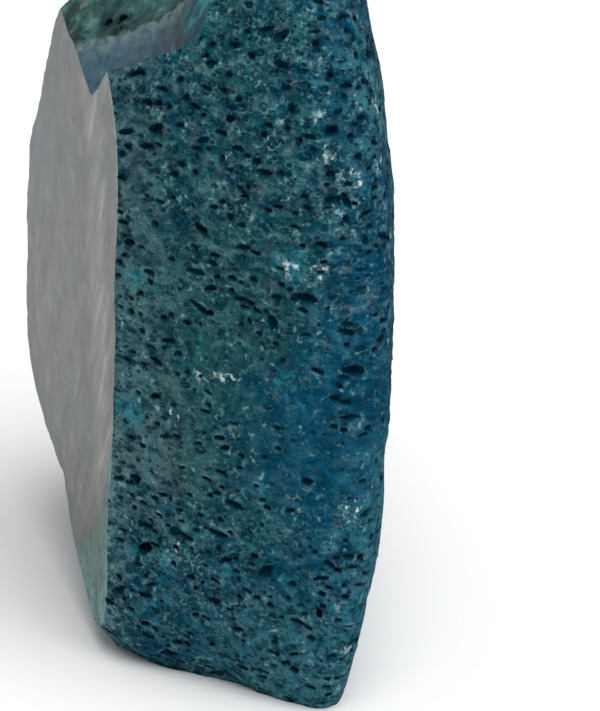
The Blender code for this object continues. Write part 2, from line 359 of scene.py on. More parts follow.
def pit_cutter():
    """The larger pits as one mesh of separate lumpy balls."""
    bm = bmesh.new()
    for number, (point, normal, width, stretch, slant) in enumerate(larger_pits()):
        middle = point - normal * width * PIT_SINK
        level = Vector((0, 0, 1)).cross(normal).normalized()
        frame_of_pit = Matrix((level, normal.cross(level), normal)).transposed().to_4x4()
        size = Matrix.Diagonal((width / 2 * stretch, width / 2, width * PIT_DEPTH, 1))
        place = Matrix.Translation(middle) @ frame_of_pit @ Matrix.Rotation(slant, 4, "Z") @ size
        for vert in bmesh.ops.create_icosphere(bm, subdivisions=3, radius=1)["verts"]:
            in_noise = vert.co * PIT_LUMP_SCALE + Vector((number * PIT_LUMP_STEP, 0, 0))
            vert.co = place @ (vert.co * (1 + PIT_LUMPINESS * noise.noise(in_noise)))
    return bm


def plain_object(name, bm, material):
    """Puts the mesh in the scene as an object of this material."""
    bmesh.ops.recalc_face_normals(bm, faces=bm.faces[:])
    mesh = bpy.data.meshes.new(name)
    bm.to_mesh(mesh)
    bm.free()
    mesh.materials.append(material)
    obj = bpy.data.objects.new(name, mesh)
    bpy.context.scene.collection.objects.link(obj)
    return obj


def cut_out(stone, cutter):
    """Takes the cutter's shape out of the stone, and leaves the cut with the cutter's material."""
    cut = stone.modifiers.new(cutter.name, "BOOLEAN")
    cut.operation = "DIFFERENCE"
    cut.object = cutter
    cut.solver = "EXACT"
    cut.material_mode = "TRANSFER"


def made_plain(obj):
    """Replaces the object's mesh by what its modifiers make of it, and removes them."""
    mesh = bpy.data.meshes.new_from_object(obj.evaluated_get(bpy.context.evaluated_depsgraph_get()))
    obj.modifiers.clear()
    obj.data = mesh


# ---- the small pits, by Geometry Nodes ----


class Tree:
    """A Geometry Nodes tree in the making."""

    def __init__(self, name):
        self.group = bpy.data.node_groups.new(name, "GeometryNodeTree")
        self.inputs = self.group.nodes.new("NodeGroupInput")

    def named_input(self, name, kind, default=None):
        """Adds a named input."""
        item = self.group.interface.new_socket(name, in_out="INPUT", socket_type=kind)
        if default is not None:
            item.default_value = default

    def given(self, name):
        """What the tree is given at that input."""
        return self.inputs.outputs[name]

    def node(self, kind, settings=None, sockets=None, output=0):
        """The output of a node with these settings, and these values or links on its sockets."""
        node = self.group.nodes.new(kind)
        for setting, value in (settings or {}).items():
            setattr(node, setting, value)
        for key, value in (sockets or {}).items():
            if isinstance(value, bpy.types.NodeSocket):
                self.group.links.new(value, node.inputs[key])
            else:
                node.inputs[key].default_value = value
        return node.outputs[output]

    def maths(self, operation, *numbers):
        return self.node("ShaderNodeMath", {"operation": operation}, dict(enumerate(numbers)))

    def vector(self, operation, *vectors, **named):
        sockets = {**dict(enumerate(vectors)), **named}
        return self.node("ShaderNodeVectorMath", {"operation": operation}, sockets)

    def drawn(self, low, high, seed):
        """A random number from low to high at each point."""
        return self.node("FunctionNodeRandomValue", {"data_type": "FLOAT"}, {2: low, 3: high, 8: seed}, 1)

    def drawn_vector(self, low, high, seed):
        """The same for a vector, each part of it on its own."""
        sockets = {0: low, 1: high, 8: seed}
        return self.node("FunctionNodeRandomValue", {"data_type": "FLOAT_VECTOR"}, sockets)

    def finish(self, geometry):
        self.group.interface.new_socket("Geometry", in_out="OUTPUT", socket_type="NodeSocketGeometry")
        self.group.links.new(geometry, self.group.nodes.new("NodeGroupOutput").inputs[0])


# What the tree of small pits is given besides the stone and the rind's material.
SMALL_PIT_INPUTS = (
    ("Narrowest", "NodeSocketFloat", SMALL_PIT_WIDTHS[0]),
    ("Widest", "NodeSocketFloat", SMALL_PIT_WIDTHS[1]),
    ("Least Gap", "NodeSocketFloat", SMALL_PIT_GAP),
    ("Pits per m2", "NodeSocketFloat", SMALL_PITS_PER_M2),
    ("Seed", "NodeSocketInt", SMALL_PIT_SEED),
)
IN_SMALL_PIT = "in small pit"


def lumpy_ball(tree):
    """The shape of a small pit, marked so that its cut can be found again."""
    size = {"Segments": BALL_SEGMENTS, "Rings": BALL_RINGS, "Radius": 0.5}
    ball = tree.node("GeometryNodeMeshUVSphere", sockets=size, output="Mesh")
    lumps = {"Scale": BALL_LUMP_SCALE, "Detail": 0.0}
    wobble = tree.node("ShaderNodeTexNoise", {"noise_dimensions": "3D"}, lumps, "Color")
    push = tree.vector("SCALE", tree.vector("SUBTRACT", wobble, (0.5, 0.5, 0.5)), Scale=BALL_LUMPINESS)
    lumpy = tree.node("GeometryNodeSetPosition", sockets={"Geometry": ball, "Offset": push})
    lining = {"Geometry": lumpy, "Material": tree.given("Rind")}
    lined = tree.node("GeometryNodeSetMaterial", sockets=lining)
    mark = {"Geometry": lined, "Name": IN_SMALL_PIT, "Value": True}
    return tree.node("GeometryNodeStoreNamedAttribute", {"data_type": "BOOLEAN", "domain": "FACE"}, mark)


def turn_of_pit(tree, outward):
    """How each pit is turned: its depth along the skin's normal, its length near level, and a slant."""
    level = tree.vector("CROSS_PRODUCT", (0, 0, 1), outward)
    standing = tree.node("FunctionNodeAlignRotationToVector", {"axis": "Z"}, {"Vector": outward})
    lying = tree.node(
        "FunctionNodeAlignRotationToVector",
        {"axis": "X", "pivot_axis": "Z"},
        {"Rotation": standing, "Vector": level},
    )
    slant = tree.drawn_vector(tuple(-angle for angle in SMALL_PIT_SLANT), SMALL_PIT_SLANT, seed=5)
    slant = tree.node("FunctionNodeEulerToRotation", sockets={0: slant})
    return tree.node("FunctionNodeRotateRotation", {"rotation_space": "LOCAL"}, {0: lying, 1: slant})


def small_pit_tree():
    """Riddles the rind with small pits: lumpy balls cut out of the skin, long ways near level."""
    tree = Tree("small_pits")
    tree.named_input("Stone", "NodeSocketGeometry")
    for name, kind, value in SMALL_PIT_INPUTS:
        tree.named_input(name, kind, value)
    tree.named_input("Rind", "NodeSocketMaterial")
    slot = tree.node("GeometryNodeInputMaterialIndex")
    points = tree.node(
        "GeometryNodeDistributePointsOnFaces",
        {"distribute_method": "POISSON"},
        {
            "Mesh": tree.given("Stone"),
            "Selection": tree.node(
                "FunctionNodeCompare", {"data_type": "INT", "operation": "EQUAL"}, {2: slot, 3: RIND}
            ),
            "Distance Min": tree.given("Least Gap"),
            "Density Max": tree.given("Pits per m2"),
            "Density Factor": tree.node(
                "GeometryNodeInputNamedAttribute", {"data_type": "FLOAT"}, {"Name": "porosity"}
            ),
            "Seed": tree.given("Seed"),
        },
        "Points",
    )
    outward = points.node.outputs["Normal"]
    width = tree.drawn(tree.given("Narrowest"), tree.given("Widest"), seed=6)
    stretch = tree.maths("POWER", tree.drawn(0.0, 1.0, seed=8), 2.0)
    stretch = tree.maths("MULTIPLY_ADD", stretch, SMALL_PIT_STRETCH, 1.0)
    stretched = tree.node("ShaderNodeCombineXYZ", sockets={0: stretch, 1: 1.0, 2: 1.0})
    shape = tree.vector("MULTIPLY", tree.drawn_vector(*SMALL_PIT_SHAPES, seed=7), stretched)
    under = tree.vector("SCALE", outward, Scale=tree.maths("MULTIPLY", width, -SMALL_PIT_SINK))
    pits = tree.node(
        "GeometryNodeInstanceOnPoints",
        sockets={
            "Points": tree.node("GeometryNodeSetPosition", sockets={"Geometry": points, "Offset": under}),
            "Instance": lumpy_ball(tree),
            "Rotation": turn_of_pit(tree, outward),
            "Scale": tree.vector("SCALE", shape, Scale=width),
        },
    )
    riddled = tree.node(
        "GeometryNodeMeshBoolean",
        {"operation": "DIFFERENCE", "solver": "MANIFOLD"},
        {"Mesh 1": tree.given("Stone"), "Mesh 2": pits},
    )
    real = tree.node("GeometryNodeRealizeInstances", sockets={0: riddled})
    in_pit = tree.node("GeometryNodeInputNamedAttribute", {"data_type": "BOOLEAN"}, {"Name": IN_SMALL_PIT})
    lining = {"Geometry": real, "Selection": in_pit, "Material": tree.given("Rind")}
    tree.finish(tree.node("GeometryNodeSetMaterial", sockets=lining))
    return tree


def riddle(stone, rind):
    """Cuts the small pits into the stone."""
    modifier = stone.modifiers.new("small_pits", "NODES")
    modifier.node_group = small_pit_tree().group
    values = {name: value for name, _, value in SMALL_PIT_INPUTS}
    values["Rind"] = rind
    for item in modifier.node_group.interface.items_tree:
        if item.in_out == "INPUT" and item.name in values:
            modifier[item.identifier] = values[item.name]
    made_plain(stone)


# ---- what the finishes read from the stone ----


def positions(mesh):
    at = np.empty(len(mesh.vertices) * 3, dtype=np.float32)
    mesh.vertices.foreach_get("co", at)
    return at.reshape(-1, 3).astype(float)


def write_attribute(mesh, name, values):
    attribute = mesh.attributes.new(name, "FLOAT", "POINT")
    attribute.data.foreach_set("value", np.asarray(values, dtype=np.float32))


def smoothness(at, span):
    """How far within the smooth patch each place is: 1 in its middle."""
    return np.exp(-((np.linalg.norm(at - np.array(SMOOTH_PATCH), axis=1) / span) ** 2))


def write_porosity(mesh):
    """How thickly the small pits lie: sparse on the smooth patch, and in drifts elsewhere."""
    at = positions(mesh)
    drift = np.array([noise.noise(Vector(p) / DRIFT_SPAN) for p in at])
    right = np.clip(at[:, 0] / RIGHT_SIDE, 0, 1)
    porosity = POROSITY + RIGHT_POROSITY * right + DRIFT_POROSITY * drift
    porosity *= 1 - SMOOTH_PATCH_THINNING * smoothness(at, 0.9 * SMOOTH_PATCH_SPAN)
    porosity = np.clip(porosity, LEAST_POROSITY, 1)
    porosity[(at[:, 1] < FACE_Y + FAR_RIM) & (at[:, 0] < 0)] = 0
    write_attribute(mesh, "porosity", porosity)


def write_depths(mesh):
    """How deep each point lies under the uncut skin, and how far outside the bite, in millimetres."""
    at = positions(mesh)
    from_heart = at - np.array(HEART)
    skin = np.linalg.norm(raised(unit(from_heart), SIDES, SIDE_SHARPNESS, fine_rind_relief), axis=1)
    depth = (skin - np.linalg.norm(from_heart, axis=1)) / MM
    write_attribute(mesh, "depth", depth)
    from_bite = at - np.array(BITE_HEART)
    edge = reach(unit(from_bite), BITE_SIDES, BITE_SHARPNESS)
    off_bite = (np.linalg.norm(from_bite, axis=1) - edge) / MM
    write_attribute(mesh, "from bite", off_bite)
    write_rims(mesh, at, depth, off_bite)


def write_rims(mesh, at, depth, off_bite):
    """How far each point is from a pit's rim in millimetres, and from -1 over the pit to 1 under it."""
    ends = np.empty(len(mesh.edges) * 2, dtype=np.int32)
    mesh.edges.foreach_get("vertices", ends)
    ends = ends.reshape(-1, 2)
    under_pit = {}
    for rim, inside in (ends.T, ends.T[::-1]):
        here = (depth[rim] < RIM_DEPTH) & (depth[inside] > 2 * RIM_DEPTH) & (off_bite[rim] > 1)
        inward = unit(at[inside[here]] - at[rim[here]])
        under_pit.update(zip(rim[here].tolist(), inward[:, 2].tolist()))
    rims = kdtree.KDTree(len(under_pit))
    for number in under_pit:
        rims.insert(at[number], number)
    rims.balance()
    nearest = [rims.find(p) for p in at]
    write_attribute(mesh, "gap", [distance / MM for _, _, distance in nearest])
    write_attribute(mesh, "under pit", [under_pit[number] for _, number, _ in nearest])


def build_stone(finishes):
    """The whole stone as one closed mesh, with its finishes in their slots."""
    bm = body(HEART, SIDES, SIDE_SHARPNESS, fine_rind_relief, EVENING_GRID, FINE_CUTS, PROPORTIONS)
    for face in bm.faces:
        face.smooth = True
    saw(bm, (0, FACE_Y, 0), (0, -1, 0), POLISHED)
    saw(bm, (0, 0, FOOT_Z), (0, 0, -1), SAWN)
    stone = plain_object("geode_stone", bm, finishes[RIND])
    for finish in finishes[1:]:
        stone.data.materials.append(finish)
    bite = body(BITE_HEART, BITE_SIDES, BITE_SHARPNESS, fine_fracture_relief, BITE_GRID, BITE_CUTS)
    cutters = (
        plain_object("bite_cutter", bite, finishes[BROKEN]),
        plain_object("pit_cutter", pit_cutter(), finishes[RIND]),
    )
    for cutter in cutters:
        for face in cutter.data.polygons:
            face.use_smooth = True
        cut_out(stone, cutter)
    made_plain(stone)
    for cutter in cutters:
        bpy.data.objects.remove(cutter)
    write_porosity(stone.data)
    riddle(stone, finishes[RIND])
    write_depths(stone.data)
    write_attribute(stone.data, "smooth", smoothness(positions(stone.data), SMOOTH_PATCH_SPAN))
    return stone


# ---- shader maths ----


class Value:
    """A socket of a material's nodes, on which sums are written as Python expressions."""

    def __init__(self, finish, socket):
        self.finish, self.socket = finish, socket

    def maths(self, operation, *others):
        values = dict(enumerate((self, *others)))
        return self.finish.node("ShaderNodeMath", {"operation": operation}, values)

    def __add__(self, other):
        return self.maths("ADD", other)

    def __sub__(self, other):
        return self.maths("SUBTRACT", other)

    def __mul__(self, other):
        return self.maths("MULTIPLY", other)

    def __truediv__(self, other):
        return self.maths("DIVIDE", other)

    def __pow__(self, other):
        return self.maths("POWER", other)

    __radd__, __rmul__ = __add__, __mul__

    def __rsub__(self, other):
        return self.finish.node("ShaderNodeMath", {"operation": "SUBTRACT"}, {0: other, 1: self})

    def at_least(self, other):
        return self.maths("MAXIMUM", other)

    def wave(self):
        return self.maths("SINE")

    def off(self, other):
        """How far it is from the other, either way."""
        return (self - other).maths("ABSOLUTE")

    def ramp(self, low, high):
        """0 up to low and 1 from high on, with a smooth step between; high may be the lower one."""
        ends = {"Value": self, "From Min": low, "From Max": high}
        return self.finish.node("ShaderNodeMapRange", {"interpolation_type": "SMOOTHSTEP"}, ends)


class Finish:
    """A material in the making, on a Principled shader."""

    def __init__(self, name):
        self.material = bpy.data.materials.new(name)
        self.material.use_nodes = True
        self.tree = self.material.node_tree
        self.shader = self.tree.nodes["Principled BSDF"]

    def node(self, kind, settings=None, sockets=None, output=0):
        """The output of a node with these settings, and these values or links on its sockets."""
        node = self.tree.nodes.new(kind)
        for setting, value in (settings or {}).items():
            setattr(node, setting, value)
        for key, value in (sockets or {}).items():
            if isinstance(value, Value):
                self.tree.links.new(value.socket, node.inputs[key])
            else:
                node.inputs[key].default_value = value
        return Value(self, node.outputs[output])

    def set(self, **sockets):
        """Sets or links the shader's sockets, named with _ for a space."""
        for name, value in sockets.items():
            socket = self.shader.inputs[name.replace("_", " ")]
            if isinstance(value, Value):
                self.tree.links.new(value.socket, socket)
            else:
                socket.default_value = value

    def place(self, centre=(0, 0, 0), squeeze=(1, 1, 1)):
        """The Object coordinates in millimetres, from a centre and squeezed along the axes."""
        sockets = {
            "Vector": self.node("ShaderNodeTexCoord", output="Object"),
            "Location": tuple(-c / MM * s for c, s in zip(centre, squeeze)),
            "Scale": tuple(s / MM for s in squeeze),
        }
        return self.node("ShaderNodeMapping", sockets=sockets)

    def vector(self, operation, *vectors, output=0):
        sockets = dict(enumerate(vectors))
        return self.node("ShaderNodeVectorMath", {"operation": operation}, sockets, output)

    def moved(self, place, by):
        return self.vector("ADD", place, by)

    def axis(self, place, name):
        return self.node("ShaderNodeSeparateXYZ", sockets={0: place}, output=name)

    def noise(self, place, span, detail=3.0, rough=0.5, output=0):
        """Noise of about this span in millimetres, from 0 to 1."""
        sockets = {"Vector": place, "Scale": 1 / span, "Detail": detail, "Roughness": rough}
        return self.node("ShaderNodeTexNoise", {"noise_dimensions": "3D"}, sockets, output)

    def cells(self, place, span, output=0):
        """Cells of about this span: how far the middle of one is, its random colour, or its middle."""
        sockets = {"Vector": place, "Scale": 1 / span}
        return self.node("ShaderNodeTexVoronoi", sockets=sockets, output=output)

    def stirred(self, place, span, amount):
        """The place pushed about by noise of that span, by up to about amount millimetres."""
        push = self.vector("SUBTRACT", self.noise(place, span, 2, output=1), (0.5, 0.5, 0.5))
        push = self.node("ShaderNodeVectorMath", {"operation": "SCALE"}, {0: push, "Scale": 2 * amount})
        return self.moved(place, push)

    def blend(self, factor, first, second):
        """The first colour where factor is 0, and the second where it is 1."""
        first, second = (c if isinstance(c, Value) else (*c, 1) for c in (first, second))
        sockets = {0: factor, 6: first, 7: second}
        return self.node("ShaderNodeMix", {"data_type": "RGBA", "clamp_factor": True}, sockets, output=2)

    def attribute(self, name):
        return self.node("ShaderNodeAttribute", {"attribute_name": name}, output="Fac")

    def within(self, place, patches):
        """How far within the nearest of these patches a place is, from 1 in its middle to 0 outside."""
        most = 0
        for middle, span in patches:
            away = self.vector("DISTANCE", place, tuple(middle / MM), output="Value")
            most = (away / (span / MM)).ramp(1.7, 0).at_least(most)
        return most

    def bump(self, height, distance):
        """Sets the shader's normal from a height of 0 to 1, whose 1 stands for this many millimetres."""
        sockets = {"Height": height, "Distance": distance * MM, "Strength": 1.0}
        self.set(Normal=self.node("ShaderNodeBump", sockets=sockets))


# ---- the finishes ----

TEAL = (0.0030, 0.066, 0.093)
GREEN = (0.0150, 0.086, 0.082)
BLUE = (0.0010, 0.062, 0.128)
NAVY = (0.0012, 0.046, 0.090)
DARK_GREEN = (0.0030, 0.046, 0.060)
SLATE = (0.0270, 0.080, 0.122)
MAUVE = (0.0850, 0.104, 0.132)
WEATHERED = (0.1000, 0.126, 0.132)
# Dark teal: the rind's darker tone, and also painted shade in its dips, dimples and ledges and over its
# pits.
DEEP_TEAL = (0.0003, 0.028, 0.050)
PALE_TEAL = (0.0480, 0.190, 0.232)
PALE_GREEN = (0.0750, 0.185, 0.190)
# Pale grit, which also serves as the painted highlight on the lower lips of pits and dimples.
GRIT_AND_HIGHLIGHT = (0.1450, 0.350, 0.385)
POWDER = (0.2600, 0.490, 0.530)
CYAN = (0.0300, 0.270, 0.335)
CRUST = (0.6200, 0.740, 0.720)
# Painted shade inside the pits, the second colour for their deepest parts.
SHADOW = (0.0003, 0.042, 0.076)
DEEPER_SHADOW = (0.0002, 0.015, 0.031)


def dimples(finish, place, span, share):
    """Shallow round dimples in that share of the cells of this span: how deep, and their lower lips."""
    stirred = finish.stirred(place, span, 0.16 * span)
    picked = finish.cells(stirred, span, output=1)
    outside = finish.cells(stirred, span) - (0.15 + 0.22 * finish.axis(picked, "X"))
    present = finish.axis(picked, "Y").ramp(share, share - 0.15)
    below = finish.axis(stirred, "Z") - finish.axis(finish.cells(stirred, span, output=2), "Z")
    lip = outside.off(0.10).ramp(0.17, 0.0) * below.ramp(0.0, -0.3 * span)
    return outside.ramp(0.06, -0.16) * present, lip * present


def pale_zones(rind, backwards, height):
    """Where the rind is painted paler: by the saw cut, low down, and in two zones at the right back, the
    higher of which is a painted highlight.
    """
    sideways = rind.axis(rind.place(), "X")
    by_saw = backwards.ramp(-16, -23) * height.ramp(26, 40) * height.ramp(90, 74)
    low = height.ramp(30, 6) * backwards.ramp(-17, -8)
    right_back = backwards.ramp(1, 8) * sideways.ramp(26, 46)
    high_or_low = height.off(102).ramp(8, 4).at_least(0.75 * height.ramp(54, 46))
    return by_saw.at_least(low).at_least(right_back * high_or_low)


def mauve_zones(backwards, height):
    """Where the rind is mauve: along the saw cut, and wider along its lower half."""
    by_saw = backwards.ramp(-19, -25) * height.ramp(26, 38) * 0.6
    by_low_saw = backwards.ramp(-15, -21) * height.ramp(26, 34) * height.ramp(62, 48)
    return by_saw.at_least(by_low_saw)


def rind_colour(rind, at, streaks, stirred):
    """The dye, green to blue from the saw cut backwards, clouded and streaked, paler in zones with a
    painted highlight among them, and its paler tone.
    """
    smooth = rind.attribute("smooth")
    backwards, height = rind.axis(at, "Y"), rind.axis(at, "Z")
    across = backwards + 26 * (rind.noise(at, 15, 3) - 0.5)
    greener = rind.noise(at, 9, 3) + 0.09 * height.off(64).ramp(32, 14) * backwards.ramp(0, -10)
    colour = rind.blend(greener.ramp(0.44, 0.60), TEAL, GREEN)
    colour = rind.blend((across + 10 * smooth).ramp(-10, 9), colour, BLUE)
    paler = rind.blend(across.ramp(-12, 4).at_least(height.ramp(38, 26)), PALE_GREEN, PALE_TEAL)
    slaty = rind.noise(stirred, 5, 3, 0.6) - 0.08 * smooth
    colour = rind.blend(slaty.ramp(0.50, 0.64) * (0.35 + 0.25 * height.ramp(24, 36)), colour, SLATE)
    low_near = height.ramp(34, 14) * backwards.ramp(-3, -14)
    colour = rind.blend(low_near * (0.5 + rind.noise(at, 5, 3).ramp(0.4, 0.6)), colour, NAVY)
    cloud = rind.noise(rind.moved(at, (6, 1, 4)), 6.5, 3, 0.55)
    colour = rind.blend(cloud.ramp(0.50, 0.38) * 0.65, colour, NAVY)
    colour = rind.blend(cloud.ramp(0.53, 0.68) * (0.45 - 0.35 * smooth), colour, paler)
    mauve = mauve_zones(backwards, height) * rind.noise(at, 6, 2).ramp(0.34, 0.54)
    colour = rind.blend(mauve * (0.50 + 0.5 * streaks), colour, MAUVE)
    # Paler zones; the one high at the right back is a painted highlight.
    pale = pale_zones(rind, backwards, height) * streaks.ramp(0.26, 0.60)
    colour = rind.blend(pale * 0.72, colour, paler)
    shoulder = backwards.ramp(-16, -12) * backwards.ramp(0, -5) * height.ramp(56, 68)
    colour = rind.blend(shoulder * 0.5, colour, DARK_GREEN)
    brow = height.off(60).ramp(9, 4) * backwards.ramp(0, 6)
    colour = rind.blend(brow * 0.9, colour, NAVY)
    weathered = rind.noise(rind.moved(stirred, (11, 2, 6)), 3.4, 3, 0.6) - 0.10 * smooth
    weathered = weathered.ramp(0.52, 0.66) * (0.25 + 0.30 * height.ramp(24, 36))
    colour = rind.blend(weathered, colour, WEATHERED)
    low_edge = (backwards + 3 * (rind.noise(at, 3, 3) - 0.5)).ramp(-22.5, -25.5) * height.ramp(50, 38)
    return rind.blend(low_edge * streaks.ramp(0.30, 0.60) * 0.85, colour, RIM_TEAL), paler


def rind_finish():
    """Porous dyed rind, dimpled like foam with painted shade in the dimples, specked with pale crust, and
    painted near black with shade in its pits.
    """
    rind = Finish("dyed_rind")
    at = rind.place()
    level = rind.place(squeeze=(1, 1, 1.35))
    stirred = rind.stirred(level, 3.2, 0.9)
    smooth = rind.attribute("smooth")
    rugged = 1 - 0.75 * smooth
    streaks = rind.noise(rind.place(squeeze=(1, 1, 0.35)), 1.3, 3, 0.6)
    colour, paler = rind_colour(rind, at, streaks, stirred)

    # Level ledges, with painted shade in their low parts and painted light on their raised parts, and the
    # stone's own mottled tone, which is also the bump's height, so that its dips carry painted shade.
    ledges = rind.noise(rind.stirred(rind.place(squeeze=(1, 1, 1.8)), 4, 1.2), 3.4, 3, 0.55)
    colour = rind.blend(ledges.ramp(0.49, 0.36) * 0.85 * rugged, colour, DEEP_TEAL)
    colour = rind.blend(ledges.ramp(0.53, 0.66) * 0.55 * rugged, colour, paler)
    tone = rind.noise(stirred, 2.2, 4, 0.6)
    colour = rind.blend(tone.ramp(0.50, 0.36) * 0.7, colour, DEEP_TEAL)
    colour = rind.blend(tone.ramp(0.51, 0.68) * 0.50 * rugged, colour, paler)
    colour = rind.blend(tone.ramp(0.60, 0.74) * 0.5 * rugged, colour, GRIT_AND_HIGHLIGHT)

    # Dimples of two sizes, darkened inside with painted shade, and with painted highlights on their lower
    # lips.
    thick = (0.30 + 0.75 * rind.noise(rind.moved(at, (9, 4, 2)), 5, 2).ramp(0.34, 0.62)) * rugged
    broad, broad_lip = dimples(rind, level, 2.5, thick)
    small, small_lip = dimples(rind, rind.moved(level, (3, 1, 7)), 1.4, thick)
    dimple, lip = broad.at_least(small), broad_lip.at_least(small_lip)
    colour = rind.blend(dimple * 0.85, colour, DEEP_TEAL)
    patchy = rind.noise(at, 1.7, 2).ramp(0.42, 0.60)
    colour = rind.blend(lip * patchy * 0.3, colour, GRIT_AND_HIGHLIGHT)

    # Grit and grain, and brighter cyan spots.
    gritty = rind.noise(rind.moved(at, (3, 8, 5)), 4.5, 3).ramp(0.46, 0.62) * rugged
    grains = rind.noise(at, 0.75, 2, 0.6).ramp(0.48, 0.66) * gritty
    colour = rind.blend(grains * 0.55, colour, GRIT_AND_HIGHLIGHT)
    fine = rind.noise(at, 0.55, 3, 0.6)
    colour = rind.blend(fine.ramp(0.5, 0.3) * 0.35, colour, DEEP_TEAL)
    colour = rind.blend(fine.ramp(0.5, 0.72) * 0.25 * rugged, colour, paler)
    bright = rind.noise(at, 7.5, 3).ramp(0.58, 0.70) * rind.noise(at, 1.3, 3).ramp(0.46, 0.66)
    dyed = rind.within(at, CYAN_PATCHES) * (0.35 + rind.noise(at, 1.5, 3).ramp(0.40, 0.60))
    colour = rind.blend((bright * 0.5).at_least(dyed * 0.65), colour, CYAN)

    # The pits' rims, with painted shade over a pit and a painted highlight under it, and the bite's edge.
    depth = rind.attribute("depth")
    gap = rind.attribute("gap")
    under_pit = rind.attribute("under pit")
    by_rim = depth.ramp(0.3, 0.1)
    shaded = gap.ramp(0.75, 0.0) * by_rim * (0.35 + 0.5 * under_pit.ramp(0.2, -0.5))
    colour = rind.blend(shaded, colour, DEEP_TEAL)
    lit = gap.off(0.35).ramp(0.45, 0.0) * by_rim * under_pit.ramp(-0.1, 0.5) * (0.25 + 0.75 * patchy)
    colour = rind.blend(lit * 0.5, colour, GRIT_AND_HIGHLIGHT)
    by_riser = rind.axis(at, "Z").ramp(106, 109)
    broken = rind.attribute("from bite").ramp(2.6, 0.1) * rind.noise(at, 1.3, 3).ramp(0.42, 0.58)
    colour = rind.blend(broken * (0.15 + 0.30 * by_riser), colour, rind.blend(by_riser, GRIT_AND_HIGHLIGHT, CYAN))

    # The pits' insides, painted darker with shade the deeper they go, and the powder and crust on the skin
    # outside them.
    colour = rind.blend(depth.ramp(-0.1, 0.7), colour, SHADOW)
    colour = rind.blend(depth.ramp(0.8, 2.0), colour, DEEPER_SHADOW)
    crusted = rind.within(at, CRUSTS)
    open_air = depth.ramp(0.6, 0.1)
    powder = (rind.noise(at, 1.5, 2.5, 0.55) + gritty * 0.04 + crusted * 0.10).ramp(0.61, 0.81)
    colour = rind.blend(powder * open_air * 0.65, colour, POWDER)
    crust = (rind.noise(rind.moved(at, (2, 5, 3)), 1.2, 3, 0.6) + crusted * 0.13).ramp(0.63, 0.78)
    colour = rind.blend(crust * crusted.ramp(0.05, 0.40) * open_air * 0.85, colour, CRUST)

    rind.set(Base_Color=colour, Roughness=0.85 - 0.25 * rind.noise(at, 2.5, 3).ramp(0.45, 0.7))
    rind.set(Specular_IOR_Level=0.02)
    height = (tone + 0.6 * ledges) * (0.9 - 0.5 * smooth)
    height = height - 0.45 * dimple + 0.12 * lip + 0.2 * fine + 0.15 * grains
    rind.bump(height, 1.7)
    return rind.material


def growth(finish, place):
    """How near the natural side of the nodule a place is: 0 at the heart and 1 at the side."""
    total = 0
    for _, turn, lift, distance in SIDES:
        way = tuple(float(c) * MM / distance for c in facing(turn, lift))
        along = finish.vector("DOT_PRODUCT", place, way, output="Value")
        total = along.at_least(0) ** SIDE_SHARPNESS + total
    return total ** (1 / SIDE_SHARPNESS)


AGATE_GREY = (0.095, 0.112, 0.112)
AGATE_DARK = (0.022, 0.032, 0.032)
AGATE_MAUVE = (0.142, 0.130, 0.134)
AGATE_GREEN = (0.050, 0.085, 0.066)
AGATE_BLUE = (0.115, 0.165, 0.178)
AGATE_COOL = (0.078, 0.108, 0.114)
AGATE_PALE = (0.400, 0.390, 0.350)
RIM_TEAL = (0.200, 0.330, 0.325)
RIM_GREEN = (0.170, 0.250, 0.222)
RIM_DARK = (0.070, 0.140, 0.140)
RIM_PALE = (0.420, 0.500, 0.450)
# Low down on the near side the polish ends at an arc about this point, this many millimetres from it.
POLISH_MIDDLE, POLISH_REACH = Vector((-37.6, 0, 71)) * MM, 67.5


